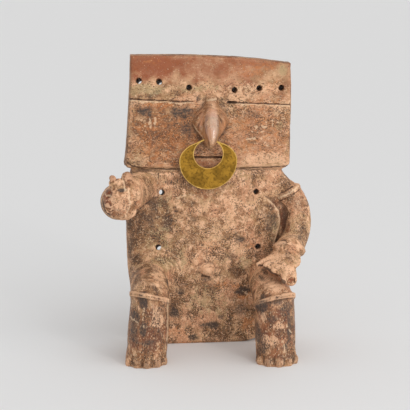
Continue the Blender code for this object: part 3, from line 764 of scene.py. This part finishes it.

# %% Thin lines: crusts and worn ridges are pale, and some pale lines are painted highlights; cuts and crevices hold dirt and painted shade, and some dark lines are painted shadows
# each line is x, z to x, z, then how wide it is
LINE_RAGGED = 0.5
PALE_AND_HIGHLIGHT_LINES = {
    "slab": (
        (64.4, 229.5, 64.5, 220.4, .8), (70.2, 232.4, 70.3, 224.4, .8),
        (76.2, 229.3, 76.3, 223.3, .7), (51.4, 224.6, 65.6, 224.4, .6),
        (49.5, 219.6, 63.7, 219.4, .5), (43.4, 212.6, 59.6, 213.4, .6),
        (59.7, 212.4, 65.8, 205.1, .6), (78.8, 232.3, 82.8, 232.3, .5),
        (-52.9, 237.1, -53.0, 223.1, .8), (-47.9, 235.1, -48.0, 225.0, .7),
        # (-74.0, 252.8) and the next two lines lie on the lower lip of the eye line: painted
        # highlight where the lip catches the light
        (-57.9, 235.2, -58.0, 221.2, .7), (-74.0, 252.8, -17.0, 249.3, .5),
        (-17.0, 250.4, -9.0, 249.4, .6), (33.1, 248.0, 88.0, 245.3, .5),
        # this line and the next four follow the body's right edge beside the arm: worn pale clay
        # and painted highlight
        (66.0, 150.5, 72.5, 144.5, .4), (72.5, 144.5, 77.2, 138.2, .5),
        (77.2, 138.2, 79.0, 129.0, .6), (79.0, 129.0, 77.8, 121.3, .6),
        (77.8, 121.3, 72.2, 102.8, .4), (-27.0, 154.0, -18.0, 156.0, .9),
        (36.0, 58.6, 52.0, 46.0, .6)),
    # the first leg line runs down the right edge of the left leg: worn ridge and painted highlight
    "raised_leg": ((-40.8, 66.0, -41.9, 24.0, .7), (-77.3, 48.4, -65.8, 42.0, .8),
                   (-64.6, 60.0, -65.7, 48.1, .7)),
    "resting_leg": ((73.2, 41.8, 80.3, 28.3, .7), (69.4, 25.6, 72.6, 13.3, .7)),
    "shoulder": ((78.0, 152.0, 98.0, 163.2, 1.1),),
    "raised_hand": ((-83.9, 190.2, -80.3, 170.4, .8), (-77.2, 169.4, -75.4, 156.5, .9),
                    (-75.4, 156.5, -80.4, 144.6, .9), (-101.0, 164.0, -93.0, 165.0, .8)),
    "nose": ((-9.8, 227.8, -0.2, 214.6, .6), (25.4, 228.3, 17.8, 213.4, .5),
             (3.0, 252.5, 13.0, 253.5, 1.2)),
}
SHADE_AND_DIRT_LINES = {
    "slab": (
        # the next two lines darken the cut eye line: painted shade in the groove, with dirt
        (-74.0, 254.2, -17.0, 250.8, .6), (-17.0, 251.7, -9.0, 250.9, .4),
        (25.2, 249.7, 33.6, 249.4, 1.5), (33.1, 249.3, 90.0, 246.5, .6),
        # the next two lines darken the crease under the jaw: painted shade, with dirt
        (33.4, 182.7, 87.5, 184.3, .7),
        (-76.3, 189.2, -63.3, 185.0, .9), (-63.3, 185.0, -27.2, 183.0, .7),
        # the mouth's cut, darkened with painted shade and dirt, then the painted shadow under the
        # belly knob
        (-9.0, 194.9, 29.0, 193.9, .9), (-1.0, 73.5, 6.0, 71.6, 1.6)),
    # painted shade and dirt in the creases along the shoulder band
    "shoulder": ((78.6, 148.6, 99.0, 160.0, .6), (76.0, 155.0, 92.0, 163.4, .4)),
    # painted shadow of the resting hand on the knee
    "knee": ((52.0, 93.0, 70.0, 84.0, 3.0),),
    # painted shade and dirt in the crevice of the raised hand
    "raised_hand": ((-102.5, 160.0, -98.7, 146.0, 1.3), (-98.7, 146.0, -92.0, 140.4, 1.3)),
    # painted shadow of the nose on the cheek, left of its wing
    "nose": ((-10.4, 224.5, -1.8, 212.6, .7),),
}


def draw_lines(lists):
    """Thin lines in the front view, each as wide as its last number, with a ragged border."""
    drawn = np.zeros(len(points))
    for part, marks in lists.items():
        for *line, wide in marks:
            away = from_line(x + LINE_RAGGED * ragged, z + LINE_RAGGED * ragged, line)
            drawn = np.maximum(drawn, ease(1.2 * wide, 0.4 * wide, away) * zones[part])
    return drawn


for name, lists in (("crust_and_highlight", PALE_AND_HIGHLIGHT_LINES), ("dirt_and_shade", SHADE_AND_DIRT_LINES)):
    drawn = draw_lines(lists)
    store(clay_figure.data, name, drawn)
    print("Points in lines of", name, int((drawn > 0.5).sum()))

# %% [markdown]
# ## How much of each effect a place gets
# The dark specks are dense on the body and few on the brow, the jaw, the bright chest and the
# nose. The hands and knees are rubbed down to bare clay, and the toes a little. The face was
# brushed from side to side, so its grain lies that way, and on the limbs it runs up and down. The
# material reads all of this as numbers that the points carry.

# %% Peppering
brow = head * ease(266, 274, z)
bright_chest = spot(20, 150, 50, 34)
jaw = ease(16, 6, np.abs(z - 192)) * ease(26, 36, x)
round_holes = ease(251, 255, z) * ease(276, 268, z)
belly_knob = spot(4, 80, 8, 8) * zones["slab"]
peppered = (0.85 - 0.20 * head) * (1 - 0.85 * burnished) * (1 - 0.8 * brow)
peppered *= (1 - 0.45 * bright_chest) * (1 - 0.4 * jaw) * (1 - 0.35 * round_holes)
peppered *= 1 - 0.8 * belly_knob
print("Mean peppering:", round(float(peppered.mean()), 2))

# %% Bare clay and grain
limbs = forward * (1 - zones["raised_hand"]) * (1 - zones["resting_hand"])
broken_fingers = zones["raised_hand"] * ease(175, 180, z)
bare_toes = ease(12, 8, z) * ease(-66, -72, y)
bare_knees = ease(62, 68, z) * ease(-50, -56, y)
bare = np.max([zones["raised_hand"] - 0.7 * broken_fingers, zones["resting_hand"],
               0.2 * bare_toes, 0.8 * bare_knees], axis=0)
store(clay_figure.data, "pepper", peppered * (1 - 0.4 * bare))
store(clay_figure.data, "worn", 0.22 + 0.45 * bare - 0.17 * head)
store(clay_figure.data, "smooth", np.max([0.35 * head, 0.8 * burnished, 0.7 * brow], axis=0))
brushed = head * (1 - burnished)
store(clay_figure.data, "grain_across", 1 - 0.22 * brushed + 0.15 * limbs)
store(clay_figure.data, "grain_along", 0.88 + 0.20 * brushed - 0.30 * limbs)
print("Bare points:", int((bare > 0.5).sum()))

# %% [markdown]
# ## Effects that both materials share
# Old clay and old gold have two things in common: blotches with ragged borders, and edges that
# hands have rubbed. Each effect is one node group with named inputs, placed in a material as often
# as it is needed with its own sizes. All sizes are counted in blotches per metre, because the
# pattern is read at the object's own place in metres.

# %% Shader groups
def new_group(name, **inputs):
    """A shader node group with a place and these numbers as inputs, and one mask as output."""
    group = bpy.data.node_groups.new(name, "ShaderNodeTree")
    group.interface.new_socket(name="Place", in_out="INPUT", socket_type="NodeSocketVector")
    for title, value in inputs.items():
        socket = group.interface.new_socket(
            name=title, in_out="INPUT", socket_type="NodeSocketFloat")
        socket.default_value = value
    group.interface.new_socket(name="Mask", in_out="OUTPUT", socket_type="NodeSocketFloat")
    entry = group.nodes.new("NodeGroupInput")
    leave = group.nodes.new("NodeGroupOutput")
    return group, entry.outputs, leave.inputs["Mask"]


def cloudy(tree, place, scale, detail, roughness=0.5):
    """Noise from 0 to 1, with its scale in blotches per metre."""
    return add(tree, "TexNoise", {"Vector": place, "Scale": scale, "Detail": detail,
                                  "Roughness": roughness}).outputs[0]


def sums(tree, operation, *values):
    """What one Math node makes of numbers or wires."""
    return add(tree, "Math", dict(enumerate(values)), operation=operation).outputs[0]


def between(tree, value, low, high, bottom=0.0, top=1.0):
    """The bottom where the value is below low, the top above high, and a soft step between."""
    return add(tree, "MapRange", {"Value": value, "From Min": low, "From Max": high,
                                  "To Min": bottom, "To Max": top},
               interpolation_type="SMOOTHSTEP").outputs[0]


ragged_blotches, given, result = new_group(
    "ragged blotches", Scale=100.0, Warp=0.004, Low=0.4, High=0.6)
drift = add(ragged_blotches, "TexNoise", {"Vector": given["Place"], "Scale": 130.0, "Detail": 2.0})
centred = add(ragged_blotches, "VectorMath",
              {0: drift.outputs["Color"], 1: (0.5, 0.5, 0.5)}, operation="SUBTRACT")
moved = add(ragged_blotches, "VectorMath",
            {0: centred.outputs[0], "Scale": given["Warp"]}, operation="SCALE")
place = add(ragged_blotches, "VectorMath",
            {0: given["Place"], 1: moved.outputs[0]}, operation="ADD")
cloud = cloudy(ragged_blotches, place.outputs[0], given["Scale"], 5.0, 0.62)
ragged_blotches.links.new(between(ragged_blotches, cloud, given["Low"], given["High"]), result)

rubbed_edges, given, result = new_group(
    "rubbed edges", Relief=0.0, Scale=300.0, Low=0.1, High=0.5, Ragged=0.6)
breaks = cloudy(rubbed_edges, given["Place"], given["Scale"], 3.0)
breaks = sums(rubbed_edges, "SUBTRACT", breaks, 0.5)
height = sums(rubbed_edges, "MULTIPLY_ADD", breaks, given["Ragged"], given["Relief"])
rubbed_edges.links.new(between(rubbed_edges, height, given["Low"], given["High"]), result)
print("Groups:", [g.name for g in bpy.data.node_groups])

# %% Material helpers
def start_material(name):
    """A new material, with its node tree, its shader and the object's own place in metres."""
    material = bpy.data.materials.new(name)
    material.use_nodes = True
    tree = material.node_tree
    shader = tree.nodes["Principled BSDF"]
    return material, tree, shader, add(tree, "TexCoord").outputs["Object"]


def blotches(tree, place, scale, low, high):
    """Ragged blotches, with the scale in blotches per metre; a wider low to high is softer."""
    wires = {"Place": place, "Scale": scale, "Low": low, "High": high}
    return add(tree, "Group", wires, node_tree=ragged_blotches).outputs["Mask"]


def edge_wear(tree, place, relief, scale, low, high, ragged):
    """Ridges of the relief, with breaks in them as fine as the scale says."""
    wires = {"Place": place, "Relief": relief, "Scale": scale, "Low": low, "High": high,
             "Ragged": ragged}
    return add(tree, "Group", wires, node_tree=rubbed_edges).outputs["Mask"]


def held(tree, name):
    """A number that the points carry under this name."""
    return add(tree, "Attribute", attribute_name=name).outputs["Fac"]


def cover(tree, under, mask, colour, share=1.0):
    """Lay a colour over another one where the mask is, at most by the share."""
    if share < 1.0:
        mask = sums(tree, "MULTIPLY", mask, share)
    mixed = add(tree, "Mix", {0: mask, 6: under, 7: colour}, data_type="RGBA")
    return mixed.outputs[2]


# %% [markdown]
# ## Fired clay
# The body is a low-fired, sandy clay: peach where it is rubbed bare, brown where its old surface
# is left, nearly black where manganese from the soil has settled in specks and blots. The colours
# are laid one over another in the order in which they came: clay, old surface with painted shade,
# slip, crusts, specks and stains, dirt and painted shade in the creases, rubbed edges, and last
# the thin lines, some of which are painted highlights, painted shade and painted shadows.

# %% Clay colours
PEACH = srgb(242, 192, 152)
LIGHT_CLAY = srgb(224, 178, 136)
ROSE_CLAY = srgb(204, 148, 110)
BUFF_CLAY = srgb(188, 148, 106)
BROWN = srgb(142, 98, 62)
DARK_BROWN = srgb(84, 58, 40)
SPECK_BROWN = srgb(58, 41, 30)
SHADE_AND_DIRT_BROWN = srgb(72, 46, 30)
STAIN_GREY = srgb(102, 80, 64)
STAIN_BLACK = srgb(52, 44, 40)
OCHRE_ORANGE = srgb(204, 128, 72)
RED_SLIP = srgb(144, 68, 32)
OLIVE_CRUST = srgb(184, 160, 116)
PALE_CRUST_AND_HIGHLIGHT = srgb(240, 206, 168)

clay, tree, shader, still_place = start_material("fired_clay_worn")
relief = held(tree, "relief")
shade = held(tree, "shade")
pepper = held(tree, "pepper")

across, along = held(tree, "grain_across"), held(tree, "grain_along")
stretch = add(tree, "CombineXYZ", {"X": across, "Y": across, "Z": along}).outputs[0]
place = add(tree, "VectorMath", {0: still_place, 1: stretch}, operation="MULTIPLY").outputs[0]
print("Clay nodes before any colour:", len(tree.nodes))

# %% The clay's own colour, with its mottles
# blotches per metre, their low and high, the colour and the most it covers
MOTTLES = ((66, 0.51, 0.61, BROWN, 0.75), (120, 0.52, 0.60, BROWN, 0.62),
           (140, 0.52, 0.59, PEACH, 0.82))

uneven = sums(tree, "SUBTRACT", 1.0, held(tree, "smooth"))
colour = cover(tree, ROSE_CLAY, blotches(tree, place, 34, 0.44, 0.56), BUFF_CLAY)
colour = cover(tree, colour, blotches(tree, place, 52, 0.48, 0.60), LIGHT_CLAY, 0.80)
for scale, low, high, tint, share in MOTTLES:
    mottle = sums(tree, "MULTIPLY", blotches(tree, place, scale, low, high), uneven)
    colour = cover(tree, colour, mottle, tint, share)
print("Kinds of mottle:", len(MOTTLES))

# %% The old dark skin, worn through in patches, with the painted shade that the shade patches carry
old_skin_and_shade = cloudy(tree, place, 105.0, 6.0, 0.70)
old_skin_and_shade = sums(tree, "MULTIPLY_ADD", shade, 0.28, old_skin_and_shade)
# The brown tint and the dark blotches follow the shade patches: old dark skin, and painted shade
# where those patches are painted shade.
colour = cover(tree, colour, shade, BROWN, 0.42)
colour = cover(tree, colour, between(tree, old_skin_and_shade, 0.60, 0.69), BROWN, 0.75)
colour = cover(tree, colour, between(tree, old_skin_and_shade, 0.69, 0.77), DARK_BROWN, 0.84)
print("Clay nodes with the old skin:", len(tree.nodes))

# %% Slip, crusts and pale clay
FRAY = 0.5

fray = blotches(tree, place, 300, 0.38, 0.62)


def frayed(name, low, high):
    """The patches of one kind, with fine ragged borders from the clay's own grain."""
    level = sums(tree, "MULTIPLY_ADD", fray, FRAY, held(tree, name))
    return between(tree, level, low + FRAY / 2, high + FRAY / 2)


thin = cloudy(tree, place, 75.0, 7.0, 0.72)
slip = sums(tree, "MULTIPLY", held(tree, "slip"), sums(tree, "MULTIPLY_ADD", thin, 2.4, -0.2))
colour = cover(tree, colour, between(tree, slip, 0.0, 1.15), RED_SLIP, 0.85)
colour = cover(tree, colour, frayed("ochre", 0.1, 0.8), OCHRE_ORANGE, 0.60)
colour = cover(tree, colour, frayed("olive", 0.2, 0.7), OLIVE_CRUST, 0.60)
colour = cover(tree, colour, frayed("pale", 0.35, 0.7), PEACH, 0.68)
print("Clay nodes with slip and crusts:", len(tree.nodes))

# %% Specks and dark minerals
def speckled(scale, amount, low, high, detail=3.0):
    """Crisp specks, the denser the higher the amount is at a place."""
    grains = cloudy(tree, place, scale, detail, 0.6)
    return between(tree, sums(tree, "ADD", grains, amount), low, high)


crowd = blotches(tree, place, 64, 0.42, 0.58)
crowd = sums(tree, "MULTIPLY", sums(tree, "MULTIPLY_ADD", crowd, 0.75, 0.25), pepper)
light_specks = speckled(760, sums(tree, "MULTIPLY", pepper, 0.11), 0.66, 0.71, 2.0)
colour = cover(tree, colour, light_specks, PALE_CRUST_AND_HIGHLIGHT, 0.58)
brown_specks = speckled(540, sums(tree, "MULTIPLY", crowd, 0.15), 0.62, 0.67)
colour = cover(tree, colour, brown_specks, BROWN, 0.80)
dark_specks = speckled(940, sums(tree, "MULTIPLY", crowd, 0.19), 0.65, 0.69)
colour = cover(tree, colour, dark_specks, SPECK_BROWN, 0.84)
stain = held(tree, "stain")
colour = cover(tree, colour, between(tree, stain, 0.10, 1.1), STAIN_GREY, 0.60)
stained = speckled(620, sums(tree, "MULTIPLY", stain, 0.25), 0.66, 0.79, 6.0)
colour = cover(tree, colour, stained, STAIN_BLACK, 0.75)
print("Clay nodes with specks and stains:", len(tree.nodes))

# %% Dirt and painted shade in the creases, rubbed edges and thin lines
# darker in the creases of the relief: dirt and painted shade
creases = edge_wear(tree, place, sums(tree, "MULTIPLY", relief, -1.0), 260, 0.14, 0.62, 0.5)
colour = cover(tree, colour, creases, DARK_BROWN, 0.62)
edges_worn = edge_wear(tree, place, relief, 300, 0.20, 0.55, 0.6)
colour = cover(tree, colour, sums(tree, "MULTIPLY", edges_worn, held(tree, "worn")), PEACH)
# crust lines, some of them painted highlights
colour = cover(tree, colour, frayed("crust_and_highlight", 0.3, 0.6), PALE_CRUST_AND_HIGHLIGHT, 0.55)
# lines of dirt, painted shade and painted shadows
colour = cover(tree, colour, frayed("dirt_and_shade", 0.25, 0.6), SHADE_AND_DIRT_BROWN, 0.85)
tree.links.new(colour, shader.inputs["Base Color"])
print("Clay nodes with all colours:", len(tree.nodes))

# %% Clay shine and fine grain
NOSE_ROUGHNESS = 0.28
GRAIN_DEPTH = 0.35 * MM

burnish = held(tree, "burnish")
dull = blotches(tree, place, 150, 0.35, 0.65)
roughness = between(tree, dull, 0.0, 1.0, 0.62, 0.80)
shinier = sums(tree, "SUBTRACT", NOSE_ROUGHNESS, roughness)
roughness = sums(tree, "MULTIPLY_ADD", burnish, shinier, roughness)
tree.links.new(roughness, shader.inputs["Roughness"])
tree.links.new(between(tree, burnish, 0.55, 0.90), shader.inputs["Coat Weight"])
shader.inputs["Coat Roughness"].default_value = 0.16
shader.inputs["Coat IOR"].default_value = 1.8

grain = cloudy(tree, place, 900.0, 5.0, 0.65)
holes = add(tree, "TexVoronoi", {"Vector": place, "Scale": 620.0}).outputs["Distance"]
height = sums(tree, "MULTIPLY_ADD", between(tree, holes, 0.0, 0.35), 0.5, grain)
height = sums(tree, "MULTIPLY", height, between(tree, burnish, 0.2, 0.8, 1.0, 0.05))
bump = add(tree, "Bump", {"Height": height, "Strength": 0.55, "Distance": GRAIN_DEPTH})
tree.links.new(bump.outputs[0], shader.inputs["Normal"])
clay_figure.data.materials.clear()
clay_figure.data.materials.append(clay)
print("Clay nodes:", len(tree.nodes))

# %% Hang the clay on the frame
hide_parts("figure")
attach(clay_figure, "root")
print("Hung on the frame:", clay_figure.name)

# %% [markdown]
# ## The nose ring
# The ring is a crescent cut from hammered gold sheet about a millimetre thick. Its rim was turned
# up and rubbed bright; the faces are dull and mottled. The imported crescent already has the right
# outline in straight steps. Joined back to squares, with its outline creased, a subdivision
# surface turns the steps into one curve and leaves the cut edge sharp, ready for a small bevel.

# %% Crescent
JOIN_ANGLE = math.radians(12)
RIM_ANGLE = math.radians(50)
RIM_BEVEL = 0.28 * MM
CURVE_LEVELS = 4

gold_crescent = merged_copy("nose_ring", "gold_crescent")
shape = bmesh.new()
shape.from_mesh(gold_crescent.data)
bmesh.ops.join_triangles(shape, faces=shape.faces, angle_face_threshold=JOIN_ANGLE,
                         angle_shape_threshold=math.pi)
crease_mark = shape.edges.layers.float.new("crease_edge")
for edge in shape.edges:
    if edge.is_manifold and edge.calc_face_angle() > RIM_ANGLE:
        edge[crease_mark] = 1.0
print("Crescent cage:", len(shape.faces), "faces,",
      sum(len(f.verts) == 4 for f in shape.faces), "of them squares")
shape.to_mesh(gold_crescent.data)
shape.free()

curve = gold_crescent.modifiers.new("curve", "SUBSURF")
curve.levels = curve.render_levels = CURVE_LEVELS
bake_modifiers(gold_crescent)
turned = gold_crescent.modifiers.new("turned rim", "BEVEL")
turned.limit_method = "ANGLE"
turned.angle_limit = RIM_ANGLE
turned.width = RIM_BEVEL
turned.segments = 3
bake_modifiers(gold_crescent)
print("Crescent with its rim:", len(gold_crescent.data.polygons), "faces")

# %% Hammering
# height and size of the dents, then how far the sheet lies below its rim
BROAD_DENTS, BROAD_SIZE = 0.10, 7
SMALL_DENTS, SMALL_SIZE = 0.05, 2.6
RIM_HEIGHT = 0.16

points = read(gold_crescent.data, "co", 3)
normals = read(gold_crescent.data, "normal", 3)
side_faces = np.abs(normals[:, 1]) < 0.5
rim_points = points[side_faces][:, [0, 2]]
to_rim = np.array([np.hypot(*(rim_points - p).T).min() for p in points[:, [0, 2]]]) / MM
free_sheet = ease(214, 205, points[:, 2] / MM)
broad = ease(0.6, 0.95, np.abs(normals[:, 1]))
dents = (BROAD_DENTS * unevenness(points, BROAD_SIZE * MM, 51.0)
         + SMALL_DENTS * unevenness(points, SMALL_SIZE * MM, 53.0))
hollow = RIM_HEIGHT * ease(0.6, 1.5, to_rim)
sink = (dents - hollow) * broad * free_sheet
points = points + normals * (sink * MM)[:, None]
write_points(gold_crescent.data, points)
store(gold_crescent.data, "relief", ease(1.4, 0.5, to_rim))
gold_crescent.data.shade_smooth()
print("Crescent points:", len(points), "sunk in mm:", round(sink.min(), 2), round(sink.max(), 2))

# %% [markdown]
# ## Old gold
# The sheet is a gold alloy with a thin olive tarnish. Metal shows its tarnish as colour and as
# dullness at once, so the same blotches drive both. The rim takes the rubbed-edge group.

# %% Gold material
GOLD_BRIGHT = srgb(238, 196, 112)
GOLD_DULL = srgb(188, 142, 56)
TARNISH = srgb(104, 78, 32)
SCRATCH_DEPTH = 0.2 * MM

gold, tree, shader, place = start_material("old_gold_sheet")
relief = held(tree, "relief")
soft = blotches(tree, place, 90, 0.40, 0.60)
spots = blotches(tree, place, 420, 0.50, 0.62)
rim = edge_wear(tree, place, relief, 500, 0.35, 0.85, 0.5)
colour = cover(tree, GOLD_DULL, soft, TARNISH, 0.55)
colour = cover(tree, colour, spots, TARNISH, 0.65)
colour = cover(tree, colour, rim, GOLD_BRIGHT, 0.8)
tree.links.new(colour, shader.inputs["Base Color"])
shader.inputs["Metallic"].default_value = 1.0
roughness = between(tree, soft, 0.0, 1.0, 0.42, 0.56)
tree.links.new(roughness, shader.inputs["Roughness"])
grain = cloudy(tree, place, 700.0, 4.0)
bump = add(tree, "Bump", {"Height": grain, "Strength": 0.35, "Distance": SCRATCH_DEPTH})
tree.links.new(bump.outputs[0], shader.inputs["Normal"])
gold_crescent.data.materials.clear()
gold_crescent.data.materials.append(gold)
print("Gold nodes:", len(tree.nodes))

# %% Hang the ring on the frame
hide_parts("nose_ring")
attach(gold_crescent, "root")
print("Hung on the frame:", gold_crescent.name)
